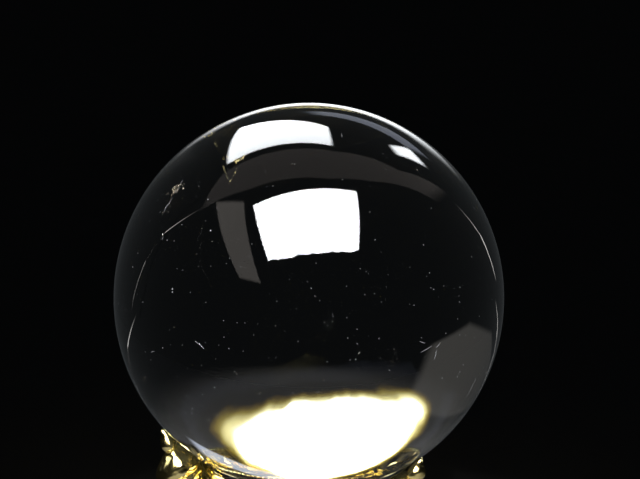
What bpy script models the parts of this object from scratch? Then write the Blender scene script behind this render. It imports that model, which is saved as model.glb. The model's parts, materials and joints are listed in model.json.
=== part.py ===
"""Crystal ball on a gilt three-talon stand. Metres, +Z up, origin on the resting surface under the middle.

The ball lies on a soft ring in the seat ring. Three cast talon legs hold the seat ring and reach up round the
ball. They stand on a stepped base of two turned castings with a bead moulding between them, and screws from
below hold everything together. Felt closes the underside.
"""

import math

import bmesh
import bpy
from mathutils import Matrix, Vector

MM = 0.001

# Driving dimensions, in millimetres.
BALL_RADIUS = 40.0
UNDER_BALL = 22.7  # from the top of the base to the ball's lowest point
BASE_RADIUS = 47.0
GAP = 0.3  # between pieces that touch
BALL_GAP = 0.4  # between the ball and what is round it

FELT_THICKNESS = 2.0
FELT_INSET = 2.4  # felt edge inside the base rim
RIM_CLEARANCE = 0.6  # base rim above the resting surface
BASE_WALL = 2.6
BASE_WEB_BOTTOM = 6.4
BASE_SHOULDER = 9.0  # height of the lower casting's flat shoulder
BASE_STEP = 4.0  # height of the base's upright outer rim
DOME_THICKNESS = 4.0
BEAD_RADIUS = 1.6

SEAT_ANGLE = 62.0  # below the ball's equator, where the ball meets the soft ring
LINER_THICKNESS = 1.8
LINER_HALF_WIDTH = 1.7
LIP_HEIGHT = 1.5  # of the seat ring's lip, above the soft ring
LIP_THICKNESS = 1.9
RING_SHOULDER = 1.6  # the seat ring's outer side beyond its lip
RING_DEPTH = 6.4  # of the outer side

TALON_COUNT = 3
FIRST_TALON_ANGLE = 90.0
TALON_WIDTH_SHARE = 0.8  # width over thickness
PAW_LENGTH = 7.6
PAW_WIDTH = 5.6
PAW_HEIGHT = 5.0
PAW_INSET = 8.9  # paw centre inside the base's upper edge
LEG_SCREW_RADIUS = 1.5
LEG_SCREW_DEPTH = 5.0  # in the paw
LEG_SCREW_HEAD_RADIUS = 2.8
LEG_SCREW_HEAD_HEIGHT = 1.7
RING_SCREW_RADIUS = 1.0
RING_SCREW_HEAD_RADIUS = 1.8
RING_SCREW_HEAD_HEIGHT = 1.2
RING_SCREW_DEPTH = 3.4  # in the talon
WASHER_THICKNESS = 0.5
WASHER_MARGIN = 0.9  # washer beyond the screw head
SLOT_WIDTH = 0.7
SLOT_DEPTH = 0.7

FINIAL_RADIUS = 9.0
FINIAL_HEIGHT = 17.0
BOLT_RADIUS = 2.5
BOLT_HEAD_RADIUS = 4.4
BOLT_HEAD_HEIGHT = 2.0
BOLT_DEPTH = 8.0  # in the finial
BALLAST_INSET = 3.3  # ballast edge inside the leg screws' washers
BALLAST_THICKNESS = 0.9

ROUND_STEPS = 48
WIDE_STEPS = 64
BALL_SEGMENTS = 48
BALL_RINGS = 24

# The talon's middle line from the nail's tip down to the ring: degrees below the ball's equator, distance
# from the ball's surface, half thickness. Nail, its root, then the first knuckle.
NAIL_LINE = [
    (40.2, 0.75, 0.45),
    (42.0, 1.30, 1.30),
    (43.8, 1.85, 1.60),
    (45.5, 2.40, 1.45),
    (47.7, 3.25, 2.80),
    (50.2, 4.50, 4.60),
    (52.2, 5.80, 5.40),
    (53.6, 7.05, 5.35),
]
# From the ring down to the ankle: share of the way down, distance in from a straight line, half thickness.
# Second knuckle, wrist, shank and ankle.
SHANK_LINE = [
    (-0.09, 0.0, 6.1),
    (0.044, 0.1, 6.2),
    (0.171, 1.2, 5.0),
    (0.300, 2.4, 4.3),
    (0.444, 3.3, 3.6),
    (0.615, 3.4, 3.3),
    (0.766, 2.2, 3.5),
    (0.883, 0.4, 3.6),
]
TALON_BESIDE_RING = 4.1  # middle line beyond the seat ring's outer side

# Heights that follow from the driving dimensions.
web_bottom = BASE_WEB_BOTTOM
shoulder = BASE_SHOULDER
dome_bottom = shoulder + GAP
base_top = dome_bottom + DOME_THICKNESS
ball_z = base_top + UNDER_BALL + BALL_RADIUS
paw_bottom = base_top + GAP
bead_line = BASE_RADIUS - BASE_WALL - BEAD_RADIUS - 0.8
dome_radius = bead_line - BEAD_RADIUS - GAP - 0.2
paw_out = dome_radius - PAW_INSET
ballast_radius = paw_out - LEG_SCREW_HEAD_RADIUS - WASHER_MARGIN - BALLAST_INSET


def fresh_scene():
    for obj in list(bpy.data.objects):
        bpy.data.objects.remove(obj)


def new_collection(name):
    collection = bpy.data.collections.new(name)
    bpy.context.scene.collection.children.link(collection)
    return collection


fresh_scene()
parts = new_collection("crystal_ball_on_stand")
cutters = new_collection("cutters")
cutters.hide_render = True


def material(name, colour, roughness, metallic):
    made = bpy.data.materials.new(name)
    made.use_nodes = True
    shader = made.node_tree.nodes["Principled BSDF"]
    shader.inputs["Base Color"].default_value = (*colour, 1.0)
    shader.inputs["Roughness"].default_value = roughness
    shader.inputs["Metallic"].default_value = metallic
    return made


quartz = material("clear_quartz", (0.97, 0.98, 1.0), 0.0, 0.0)
quartz.node_tree.nodes["Principled BSDF"].inputs["Transmission Weight"].default_value = 1.0
gilt = material("gilt_brass", (0.95, 0.70, 0.28), 0.12, 1.0)
steel = material("zinc_steel", (0.62, 0.62, 0.60), 0.30, 1.0)
iron = material("cast_iron", (0.10, 0.10, 0.10), 0.60, 1.0)
soft = material("soft_ring", (0.05, 0.05, 0.05), 0.60, 0.0)
felt = material("dark_felt", (0.03, 0.08, 0.05), 0.95, 0.0)


def put(obj, finish):
    """A finished piece: in the object's collection, with its material."""
    for collection in list(obj.users_collection):
        collection.objects.unlink(obj)
    parts.objects.link(obj)
    obj.data.materials.clear()
    obj.data.materials.append(finish)
    return obj


def put_cutter(obj):
    for collection in list(obj.users_collection):
        collection.objects.unlink(obj)
    cutters.objects.link(obj)
    obj.hide_render = True
    obj.display_type = "WIRE"
    return obj


def round_shading(mesh):
    mesh.shade_smooth()
    mesh.set_sharp_from_angle(angle=math.radians(35))


def turned(name, profile, steps=ROUND_STEPS, ring=False):
    """A solid turned about Z. The profile is (radius, height) in mm down the outer side; a ring's is a loop."""
    mesh = bpy.data.meshes.new(name)
    points = [(r * MM, 0.0, z * MM) for r, z in profile]
    edges = [(i, i + 1) for i in range(len(points) - 1)]
    if ring:
        edges.append((len(points) - 1, 0))
    mesh.from_pydata(points, edges, [])
    obj = bpy.data.objects.new(name, mesh)
    spin = obj.modifiers.new("turn", "SCREW")
    spin.axis = "Z"
    spin.steps = steps
    spin.render_steps = steps
    spin.use_merge_vertices = True
    spin.merge_threshold = 0.00001
    spin.use_smooth_shade = True
    return obj


def cut(obj, *tools):
    for tool in tools:
        boolean = obj.modifiers.new("cut_" + tool.name, "BOOLEAN")
        boolean.operation = "DIFFERENCE"
        boolean.object = tool
        boolean.solver = "EXACT"
    return obj


def rod_cutter(name, radius, low, high, place=(0.0, 0.0), lie_along_x=False, sides=24):
    """A round cutter from low to high, upright at place, or along X at the height place[1]."""
    depth = (high - low) * MM
    middle = (high + low) / 2 * MM
    if lie_along_x:
        location = (middle, place[0] * MM, place[1] * MM)
        rotation = (0.0, math.pi / 2, 0.0)
    else:
        location = (place[0] * MM, place[1] * MM, middle)
        rotation = (0.0, 0.0, 0.0)
    bpy.ops.mesh.primitive_cylinder_add(
        vertices=sides, radius=radius * MM, depth=depth, location=location, rotation=rotation
    )
    obj = bpy.context.active_object
    obj.name = name
    return put_cutter(obj)


def settled(obj):
    """The object's evaluated mesh in world space, welded, as a mesh of its own. The object goes."""
    bpy.context.view_layer.update()
    graph = bpy.context.evaluated_depsgraph_get()
    mesh = bpy.data.meshes.new_from_object(obj.evaluated_get(graph))
    mesh.transform(obj.matrix_world)
    work = bmesh.new()
    work.from_mesh(mesh)
    bmesh.ops.remove_doubles(work, verts=work.verts, dist=0.000002)
    bmesh.ops.recalc_face_normals(work, faces=work.faces)
    work.to_mesh(mesh)
    work.free()
    bpy.data.objects.remove(obj)
    return mesh


def talon_angles():
    return [FIRST_TALON_ANGLE + 360.0 * i / TALON_COUNT for i in range(TALON_COUNT)]


def about_axis(angle):
    return Matrix.Rotation(math.radians(angle), 4, "Z")


# Seat ring and soft ring: a cone square to the ball's radius at SEAT_ANGLE. Points are given by how far they
# lie from the ball's centre along that radius, and how far up along the cone.


def seat_point(away, along):
    a = math.radians(SEAT_ANGLE)
    radius = away * math.cos(a) + along * math.sin(a)
    height = ball_z - away * math.sin(a) + along * math.cos(a)
    return radius, height


liner_inner = BALL_RADIUS + BALL_GAP
liner_outer = liner_inner + LINER_THICKNESS
cone_away = liner_outer + GAP
rebate = LINER_HALF_WIDTH + GAP
lip_inside = seat_point(liner_inner, rebate)
lip_top = seat_point(liner_inner, rebate + LIP_HEIGHT)
lip_outside = seat_point(liner_inner + LIP_THICKNESS, rebate + LIP_HEIGHT)
cone_top = seat_point(cone_away, rebate)
cone_foot = seat_point(cone_away, -rebate)
ring_radius = lip_outside[0] + RING_SHOULDER
ring_top = lip_outside[1] - RING_SHOULDER / 2
ring_bottom = ring_top - RING_DEPTH
ring_bore = cone_foot[0]
ring_screw_z = (cone_foot[1] + ring_bottom) / 2

ring_profile = [
    lip_top,
    lip_outside,
    (ring_radius, ring_top),
    (ring_radius, ring_bottom),
    (ring_bore, ring_bottom),
    cone_foot,
    cone_top,
    lip_inside,
]


def notch_profile():
    """What is cut from a talon so that the seat ring passes it."""
    inner = ring_bore - GAP
    high = lip_top[1] + GAP
    return [
        (lip_outside[0] + GAP, high),
        (lip_outside[0] + GAP, lip_outside[1] + GAP),
        (ring_radius + GAP, ring_top + GAP),
        (ring_radius + GAP, ring_bottom - GAP),
        (inner, ring_bottom - GAP),
        (inner, high),
    ]


def make_ball():
    bpy.ops.mesh.primitive_uv_sphere_add(
        segments=BALL_SEGMENTS,
        ring_count=BALL_RINGS,
        radius=BALL_RADIUS * MM,
        location=(0.0, 0.0, ball_z * MM),
    )
    ball = bpy.context.active_object
    ball.name = "crystal_ball"
    ball.data.shade_smooth()
    put(ball, quartz)


def make_liner():
    corners = [
        seat_point(liner_inner, LINER_HALF_WIDTH),
        seat_point(liner_outer, LINER_HALF_WIDTH),
        seat_point(liner_outer, -LINER_HALF_WIDTH),
        seat_point(liner_inner, -LINER_HALF_WIDTH),
    ]
    put(turned("seat_liner", corners, ring=True), soft)


def make_seat_ring():
    ring = turned("seat_ring", ring_profile, ring=True)
    for i, angle in enumerate(talon_angles()):
        hole = rod_cutter(
            f"ring_hole_{i + 1}",
            RING_SCREW_RADIUS + GAP,
            ring_bore - 4.0,
            ring_radius + 4.0,
            place=(0.0, ring_screw_z),
            lie_along_x=True,
            sides=16,
        )
        hole.matrix_world = about_axis(angle) @ hole.matrix_world
        cut(ring, hole)
    put(ring, gilt)


# Talon legs. One is modelled standing out along +X, and the three share its mesh.


def talon_line():
    """The middle line's points: distance from the axis, height, half thickness."""
    points = []
    for below, away, half in NAIL_LINE:
        distance = BALL_RADIUS + away
        a = math.radians(below)
        points.append((distance * math.cos(a), ball_z - distance * math.sin(a), half))
    top_out = ring_radius + TALON_BESIDE_RING
    for down, inward, half in SHANK_LINE:
        out = top_out + (paw_out - top_out) * down - inward
        points.append((out, ring_bottom + (paw_bottom - ring_bottom) * down, half))
    return points


def talon_curve():
    curve = bpy.data.curves.new("talon_line", "CURVE")
    curve.dimensions = "3D"
    curve.bevel_depth = MM
    curve.bevel_resolution = 4
    curve.use_fill_caps = True
    line = talon_line()
    spline = curve.splines.new("POLY")
    spline.points.add(len(line) - 1)
    for point, (out, up, half) in zip(spline.points, line):
        point.co = (out * MM, 0.0, up * MM, 1.0)
        point.radius = half
    obj = bpy.data.objects.new("talon_line", curve)
    obj.scale = (1.0, TALON_WIDTH_SHARE, 1.0)
    cutters.objects.link(obj)
    return obj


def talon_mesh():
    leg = bpy.data.objects.new("talon_leg", settled(talon_curve()))
    cutters.objects.link(leg)

    bpy.ops.mesh.primitive_uv_sphere_add(segments=20, ring_count=12, radius=MM)
    paw = put_cutter(bpy.context.active_object)
    paw.name = "paw"
    paw.data.transform(Matrix.Diagonal((PAW_LENGTH, PAW_WIDTH, PAW_HEIGHT, 1.0)))
    paw.location = (paw_out * MM, 0.0, (paw_bottom + PAW_HEIGHT * 0.45) * MM)
    join = leg.modifiers.new("paw", "BOOLEAN")
    join.operation = "UNION"
    join.object = paw
    join.solver = "EXACT"

    bpy.ops.mesh.primitive_cube_add(size=2 * paw_out * MM, location=(paw_out * MM, 0.0, 0.0))
    floor = put_cutter(bpy.context.active_object)
    floor.name = "under_paw"
    floor.location.z = (paw_bottom - paw_out) * MM

    bpy.ops.mesh.primitive_uv_sphere_add(
        segments=BALL_SEGMENTS * 2,
        ring_count=BALL_RINGS * 2,
        radius=(BALL_RADIUS + BALL_GAP) * MM,
        location=(0.0, 0.0, ball_z * MM),
    )
    hollow = put_cutter(bpy.context.active_object)
    hollow.name = "ball_hollow"

    notch = put_cutter(turned("ring_notch", notch_profile(), ring=True))
    ring_hole = rod_cutter(
        "talon_ring_hole",
        RING_SCREW_RADIUS + GAP,
        ring_radius - 4.0,
        ring_radius + RING_SCREW_DEPTH + GAP,
        place=(0.0, ring_screw_z),
        lie_along_x=True,
        sides=16,
    )
    leg_hole = rod_cutter(
        "talon_leg_hole",
        LEG_SCREW_RADIUS + GAP,
        paw_bottom - 4.0,
        paw_bottom + LEG_SCREW_DEPTH + GAP,
        place=(paw_out, 0.0),
        sides=16,
    )
    cut(leg, floor, hollow, notch, ring_hole, leg_hole)
    return settled(leg)


def make_talons():
    mesh = talon_mesh()
    round_shading(mesh)
    for i, angle in enumerate(talon_angles()):
        talon = bpy.data.objects.new(f"talon_leg_{i + 1}", mesh)
        talon.matrix_world = about_axis(angle)
        put(talon, gilt)


# Fasteners.


def screw_mesh(name, radius, length, head_radius, head_height, sides=16):
    """A slotted screw that points up: its head's top face lies at height 0 and its shank runs up from there."""
    profile = [
        (0.0, length),
        (radius, length),
        (radius, 0.0),
        (head_radius, 0.0),
        (head_radius, -0.6 * head_height),
        (0.8 * head_radius, -head_height),
        (0.0, -head_height),
    ]
    screw = turned(name, profile, steps=sides)
    cutters.objects.link(screw)
    bpy.ops.mesh.primitive_cube_add(size=MM)
    slot = put_cutter(bpy.context.active_object)
    slot.name = name + "_slot"
    slot.data.transform(Matrix.Diagonal((SLOT_WIDTH, 3 * head_radius, 2 * SLOT_DEPTH, 1.0)))
    slot.location = (0.0, 0.0, -head_height * MM)
    cut(screw, slot)
    return settled(screw)


def make_leg_screws():
    head_top = web_bottom - 2 * GAP - WASHER_THICKNESS
    length = paw_bottom + LEG_SCREW_DEPTH - head_top
    mesh = screw_mesh(
        "leg_screw", LEG_SCREW_RADIUS, length, LEG_SCREW_HEAD_RADIUS, LEG_SCREW_HEAD_HEIGHT
    )
    washer_top = web_bottom - GAP
    for i, angle in enumerate(talon_angles()):
        place = about_axis(angle) @ Vector((paw_out * MM, 0.0, 0.0))
        screw = bpy.data.objects.new(f"leg_screw_{i + 1}", mesh)
        screw.location = place + Vector((0.0, 0.0, head_top * MM))
        put(screw, steel)
        washer = turned(
            f"leg_washer_{i + 1}",
            washer_profile(LEG_SCREW_RADIUS, LEG_SCREW_HEAD_RADIUS, washer_top),
            steps=24,
            ring=True,
        )
        washer.location = place
        put(washer, steel)


def washer_profile(shank_radius, head_radius, top):
    outer = head_radius + WASHER_MARGIN
    inner = shank_radius + GAP
    bottom = top - WASHER_THICKNESS
    return [(outer, top), (outer, bottom), (inner, bottom), (inner, top)]


def make_ring_screws():
    head_face = ring_bore - GAP
    length = ring_radius + RING_SCREW_DEPTH - head_face
    mesh = screw_mesh(
        "ring_screw", RING_SCREW_RADIUS, length, RING_SCREW_HEAD_RADIUS, RING_SCREW_HEAD_HEIGHT, sides=12
    )
    outwards = Matrix.Rotation(math.pi / 2, 4, "Y")
    for i, angle in enumerate(talon_angles()):
        screw = bpy.data.objects.new(f"ring_screw_{i + 1}", mesh)
        seat = Matrix.Translation((head_face * MM, 0.0, ring_screw_z * MM))
        screw.matrix_world = about_axis(angle) @ seat @ outwards
        put(screw, gilt)


# Base: a wide lower casting, a bead moulding on its shoulder, and a flat dome that the paws stand on.


def make_base_foot():
    rim = RIM_CLEARANCE
    step = BASE_STEP
    cavity = BASE_RADIUS - FELT_INSET + GAP
    recess = FELT_THICKNESS + GAP
    neck = bead_line + BEAD_RADIUS + 0.9
    hollow_radius = BASE_RADIUS - FELT_INSET - 2 * BASE_WALL
    bolt_hole = BOLT_RADIUS + GAP
    cove = [
        (
            neck + (BASE_RADIUS - 1.0 - neck) * (1 - math.sin(t)),
            shoulder - (shoulder - step - 0.4) * (1 - math.cos(t)),
        )
        for t in [math.radians(a) for a in (90, 67.5, 45, 22.5, 0)]
    ]
    profile = [
        (bolt_hole, shoulder),
        (neck - 0.5, shoulder),
        *reversed([(r, z) for r, z in cove]),
        (BASE_RADIUS - 0.3, step),
        (BASE_RADIUS, step - 0.4),
        (BASE_RADIUS, rim + 0.5),
        (BASE_RADIUS - 0.4, rim),
        (cavity, rim),
        (cavity, recess),
        (hollow_radius, recess),
        (hollow_radius, web_bottom),
        (bolt_hole, web_bottom),
    ]
    foot = turned("base_foot", profile, steps=WIDE_STEPS, ring=True)
    put(cut(foot, *leg_hole_cutters("foot", web_bottom - 3.0, shoulder + 3.0)), gilt)


def leg_hole_cutters(name, low, high):
    places = [about_axis(a) @ Vector((paw_out, 0.0, 0.0)) for a in talon_angles()]
    return [
        rod_cutter(f"{name}_hole_{i + 1}", LEG_SCREW_RADIUS + GAP, low, high, (p.x, p.y), sides=16)
        for i, p in enumerate(places)
    ]


def make_bead_ring():
    """The plain ring that carries the beads."""
    height = shoulder + GAP + BEAD_RADIUS
    sides = 8
    profile = [
        (
            bead_line + BEAD_RADIUS * math.cos(-2 * math.pi * i / sides),
            height + BEAD_RADIUS * math.sin(-2 * math.pi * i / sides),
        )
        for i in range(sides)
    ]
    put(turned("bead_ring", profile, steps=WIDE_STEPS, ring=True), gilt)


def make_base_dome():
    bolt_hole = BOLT_RADIUS + GAP
    edge = 1.6
    arc = [
        (
            dome_radius - edge + edge * math.sin(t),
            base_top - edge + edge * math.cos(t),
        )
        for t in [math.radians(a) for a in (0, 30, 60, 90)]
    ]
    profile = [
        (bolt_hole, base_top),
        *arc,
        (dome_radius, dome_bottom),
        (bolt_hole, dome_bottom),
    ]
    dome = turned("base_dome", profile, steps=WIDE_STEPS, ring=True)
    put(cut(dome, *leg_hole_cutters("dome", dome_bottom - 3.0, base_top + 3.0)), gilt)


def make_felt():
    radius = BASE_RADIUS - FELT_INSET
    profile = [(0.0, FELT_THICKNESS), (radius, FELT_THICKNESS), (radius, 0.0), (0.0, 0.0)]
    put(turned("felt_pad", profile, steps=WIDE_STEPS), felt)


def make_ballast():
    top = web_bottom - GAP
    inner = BOLT_RADIUS + GAP
    bottom = top - BALLAST_THICKNESS
    profile = [(ballast_radius, top), (ballast_radius, bottom), (inner, bottom), (inner, top)]
    put(turned("ballast_plate", profile, ring=True), iron)


# Finial in the middle of the base, and the bolt that holds it.


def make_finial():
    """A turned bud on a waisted foot, hollow below for the bolt."""
    low = base_top + GAP
    shape = [
        (0.00, 1.00),
        (0.10, 0.985),
        (0.26, 0.93),
        (0.44, 0.83),
        (0.56, 0.70),
        (0.60, 0.57),
        (0.54, 0.45),
        (0.40, 0.36),
        (0.32, 0.30),
        (0.34, 0.25),
        (0.52, 0.22),
        (0.56, 0.18),
        (0.52, 0.14),
        (0.70, 0.11),
        (0.94, 0.06),
        (1.00, 0.03),
        (1.00, 0.00),
        (0.00, 0.00),
    ]
    profile = [(r * FINIAL_RADIUS, low + z * FINIAL_HEIGHT) for r, z in shape]
    finial = turned("finial", profile, steps=32)
    hole = rod_cutter("finial_hole", BOLT_RADIUS + GAP, low - 3.0, low + BOLT_DEPTH + GAP, sides=20)
    put(cut(finial, hole), gilt)


def make_centre_bolt():
    ballast_bottom = web_bottom - GAP - BALLAST_THICKNESS
    washer_top = ballast_bottom - GAP
    profile = washer_profile(BOLT_RADIUS, BOLT_HEAD_RADIUS - WASHER_MARGIN / 2, washer_top)
    put(turned("centre_washer", profile, steps=24, ring=True), steel)

    head_top = washer_top - WASHER_THICKNESS - GAP
    head_height = min(BOLT_HEAD_HEIGHT, head_top - FELT_THICKNESS - GAP)
    low = base_top + GAP
    bpy.ops.mesh.primitive_cylinder_add(
        vertices=6,
        radius=BOLT_HEAD_RADIUS * MM,
        depth=head_height * MM,
        location=(0.0, 0.0, (head_top - head_height / 2) * MM),
    )
    bolt = bpy.context.active_object
    bolt.name = "centre_bolt"
    shank = rod_cutter("bolt_shank", BOLT_RADIUS, head_top - 0.5, low + BOLT_DEPTH, sides=20)
    join = bolt.modifiers.new("shank", "BOOLEAN")
    join.operation = "UNION"
    join.object = shank
    join.solver = "EXACT"
    put(bolt, steel)


make_ball()
make_liner()
make_seat_ring()
make_talons()
make_leg_screws()
make_ring_screws()
make_base_foot()
make_bead_ring()
make_base_dome()
make_felt()
make_ballast()
make_finial()
make_centre_bolt()
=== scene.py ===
"""A crystal ball on a gilt talon stand: polished rock crystal, gilt castings, felt, and the studio."""

import json
import math
import random

import bpy
from mathutils import Matrix, Vector

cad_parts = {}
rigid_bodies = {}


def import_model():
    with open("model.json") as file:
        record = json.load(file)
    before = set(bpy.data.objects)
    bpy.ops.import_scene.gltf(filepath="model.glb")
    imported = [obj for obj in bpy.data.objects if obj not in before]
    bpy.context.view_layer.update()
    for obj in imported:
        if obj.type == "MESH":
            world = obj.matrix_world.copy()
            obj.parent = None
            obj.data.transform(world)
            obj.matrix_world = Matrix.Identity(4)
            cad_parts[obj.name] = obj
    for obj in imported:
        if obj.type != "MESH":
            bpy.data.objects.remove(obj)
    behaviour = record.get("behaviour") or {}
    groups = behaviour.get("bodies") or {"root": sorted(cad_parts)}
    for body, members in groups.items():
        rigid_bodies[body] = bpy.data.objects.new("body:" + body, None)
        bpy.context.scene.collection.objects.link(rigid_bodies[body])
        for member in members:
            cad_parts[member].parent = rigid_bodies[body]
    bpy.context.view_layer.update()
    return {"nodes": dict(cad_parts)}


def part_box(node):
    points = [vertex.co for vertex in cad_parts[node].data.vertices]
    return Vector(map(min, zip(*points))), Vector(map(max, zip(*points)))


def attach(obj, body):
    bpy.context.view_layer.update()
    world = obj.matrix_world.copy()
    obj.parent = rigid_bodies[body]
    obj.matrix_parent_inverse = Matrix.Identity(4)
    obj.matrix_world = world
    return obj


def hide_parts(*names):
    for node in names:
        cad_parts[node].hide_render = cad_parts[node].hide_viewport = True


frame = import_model()
nodes = frame["nodes"]

MM = 0.001
QUARTZ_IOR = 1.547
# The camera's place round the ball, in degrees, and its distance in ball radii.
CAMERA_AZIMUTH = 16.0
CAMERA_ELEVATION = 17.5
CAMERA_DISTANCE = 6.5

ball_low, ball_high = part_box("crystal_ball")
ball_centre = (ball_low + ball_high) / 2
ball_radius = (ball_high.z - ball_low.z) / 2


# Making and finishing pieces.


def look_from(azimuth, elevation, distance, target):
    a, e = math.radians(azimuth), math.radians(elevation)
    return target + distance * Vector(
        (math.sin(a) * math.cos(e), -math.cos(a) * math.cos(e), math.sin(e))
    )


def deselect():
    for obj in bpy.context.selected_objects:
        obj.select_set(False)


def hold(piece):
    """Selects one piece and makes it the active one."""
    deselect()
    piece.select_set(True)
    bpy.context.view_layer.objects.active = piece


def place_in_mesh(piece):
    """Puts a piece's place, turn and size into its mesh, with its object at the origin."""
    hold(piece)
    bpy.ops.object.transform_apply(location=True, rotation=True, scale=True)


def round_off(piece, angle=40):
    hold(piece)
    bpy.ops.object.shade_smooth_by_angle(angle=math.radians(angle))


def finished(piece, name, finish, body, stands_for=()):
    place_in_mesh(piece)
    piece.name = name
    piece.data.name = name
    piece.data.materials.clear()
    piece.data.materials.append(finish)
    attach(piece, body)
    if stands_for:
        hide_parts(*stands_for)
    return piece


# Finishes.


class Finish:
    """A material being made: short ways to add its nodes."""

    def __init__(self, name):
        self.material = bpy.data.materials.new(name)
        self.material.use_nodes = True
        self.tree = self.material.node_tree
        self.shader = self.tree.nodes["Principled BSDF"]
        self.place = self.tree.nodes.new("ShaderNodeTexCoord").outputs["Object"]

    def set(self, **values):
        for name, value in values.items():
            self.shader.inputs[name.replace("_", " ")].default_value = value

    def join(self, output, socket):
        self.tree.links.new(output, self.shader.inputs[socket])

    def noise(self, scale, detail=4.0, roughness=0.5, distortion=0.0, place=None):
        node = self.tree.nodes.new("ShaderNodeTexNoise")
        node.inputs["Scale"].default_value = scale
        node.inputs["Detail"].default_value = detail
        node.inputs["Roughness"].default_value = roughness
        node.inputs["Distortion"].default_value = distortion
        self.tree.links.new(place or self.place, node.inputs["Vector"])
        return node.outputs["Fac"]

    def spots(self, scale, feature="F1"):
        node = self.tree.nodes.new("ShaderNodeTexVoronoi")
        node.feature = feature
        node.inputs["Scale"].default_value = scale
        self.tree.links.new(self.place, node.inputs["Vector"])
        return node.outputs["Distance"]

    def hollows(self):
        return self.tree.nodes.new("ShaderNodeNewGeometry").outputs["Pointiness"]

    def spread(self, value, low, high, to_low, to_high):
        node = self.tree.nodes.new("ShaderNodeMapRange")
        node.inputs["From Min"].default_value = low
        node.inputs["From Max"].default_value = high
        node.inputs["To Min"].default_value = to_low
        node.inputs["To Max"].default_value = to_high
        self.tree.links.new(value, node.inputs["Value"])
        return node.outputs["Result"]

    def sum(self, first, second, operation="ADD"):
        node = self.tree.nodes.new("ShaderNodeMath")
        node.operation = operation
        self.tree.links.new(first, node.inputs[0])
        if isinstance(second, float):
            node.inputs[1].default_value = second
        else:
            self.tree.links.new(second, node.inputs[1])
        return node.outputs["Value"]

    def tones(self, value, *stops):
        node = self.tree.nodes.new("ShaderNodeValToRGB")
        ramp = node.color_ramp
        while len(ramp.elements) < len(stops):
            ramp.elements.new(0.5)
        for element, (position, colour) in zip(ramp.elements, stops):
            element.position = position
            element.color = (*colour, 1.0)
        self.tree.links.new(value, node.inputs["Fac"])
        return node.outputs["Color"]

    def bump(self, height, strength, distance):
        node = self.tree.nodes.new("ShaderNodeBump")
        node.inputs["Strength"].default_value = strength
        node.inputs["Distance"].default_value = distance
        self.tree.links.new(height, node.inputs["Height"])
        self.join(node.outputs["Normal"], "Normal")


def gilt_finish(name, texture_depth, fine=900.0):
    """Gold plate over cast brass: bright where it is rubbed, a little uneven, and with painted shade that
    turns it brown in the hollows and creases.
    """
    gilt = Finish(name)
    cloud = gilt.noise(140.0, detail=5.0)
    # Painted shade: a mask of the hollows and creases, read from the surface's curvature, that darkens the
    # colour there.
    hollow_shade = gilt.spread(gilt.hollows(), 0.44, 0.53, 0.0, 1.0)
    tone = gilt.sum(gilt.sum(cloud, 0.35, "MULTIPLY"), gilt.sum(hollow_shade, 0.8, "MULTIPLY"))
    colour = gilt.tones(
        tone,
        (0.10, (0.17, 0.12, 0.025)),
        (0.42, (0.66, 0.50, 0.12)),
        (0.66, (0.95, 0.78, 0.29)),
        (1.00, (1.00, 0.87, 0.47)),
    )
    gilt.join(colour, "Base Color")
    gilt.join(gilt.spread(tone, 0.1, 1.0, 0.34, 0.09), "Roughness")
    gilt.set(Metallic=1.0)
    grain = gilt.noise(fine, detail=6.0, roughness=0.6)
    gilt.bump(grain, 0.5, texture_depth)
    return gilt.material


def crystal_finish():
    """Clear quartz with a high polish, here and there dulled a very little by handling."""
    crystal = Finish("rock_crystal")
    handled = crystal.noise(45.0, detail=7.0, roughness=0.6, distortion=0.8)
    crystal.join(crystal.spread(handled, 0.52, 0.80, 0.0, 0.03), "Roughness")
    tint = crystal.tones(handled, (0.3, (1.0, 1.0, 1.0)), (0.8, (0.975, 0.985, 1.0)))
    crystal.join(tint, "Base Color")
    crystal.set(IOR=QUARTZ_IOR)
    crystal.shader.inputs["Transmission Weight"].default_value = 1.0
    return crystal.material


def stippled_finish():
    """Gilt with a fine punched ground, with painted shade that darkens each punched pit."""
    gilt = Finish("gilt_stippled")
    dots = gilt.spots(900.0)
    # Painted shade: the punched pits are darkened in the colour, as well as roughened and sunk by the bump.
    hollow_shade = gilt.spread(dots, 0.0, 0.35, 0.0, 1.0)
    cloud = gilt.noise(90.0, detail=4.0)
    tone = gilt.sum(gilt.sum(hollow_shade, 0.45, "MULTIPLY"), gilt.sum(cloud, 0.6, "MULTIPLY"))
    colour = gilt.tones(
        tone, (0.15, (0.40, 0.29, 0.07)), (0.5, (0.86, 0.68, 0.24)), (0.9, (0.98, 0.83, 0.42))
    )
    gilt.join(colour, "Base Color")
    gilt.join(gilt.spread(tone, 0.1, 0.9, 0.42, 0.20), "Roughness")
    gilt.set(Metallic=1.0)
    gilt.bump(hollow_shade, 0.35, 0.00008)
    return gilt.material


def silicone_finish():
    soft = Finish("silicone")
    cloud = soft.noise(300.0)
    grey = soft.tones(cloud, (0.3, (0.030, 0.030, 0.032)), (0.7, (0.050, 0.050, 0.052)))
    soft.join(grey, "Base Color")
    soft.join(soft.spread(cloud, 0.3, 0.7, 0.45, 0.6), "Roughness")
    soft.bump(soft.noise(2500.0), 0.2, 0.00002)
    return soft.material


def felt_finish():
    wool = Finish("wool_felt")
    fibres = wool.noise(1400.0, detail=8.0, roughness=0.7, distortion=1.5)
    mottle = wool.noise(60.0)
    tone = wool.sum(wool.sum(fibres, 0.7, "MULTIPLY"), wool.sum(mottle, 0.3, "MULTIPLY"))
    colour = wool.tones(tone, (0.3, (0.008, 0.030, 0.020)), (0.7, (0.030, 0.085, 0.055)))
    wool.join(colour, "Base Color")
    wool.set(Roughness=0.95)
    wool.shader.inputs["Sheen Weight"].default_value = 0.5
    wool.shader.inputs["Sheen Roughness"].default_value = 0.6
    wool.bump(fibres, 0.8, 0.0002)
    return wool.material


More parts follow.
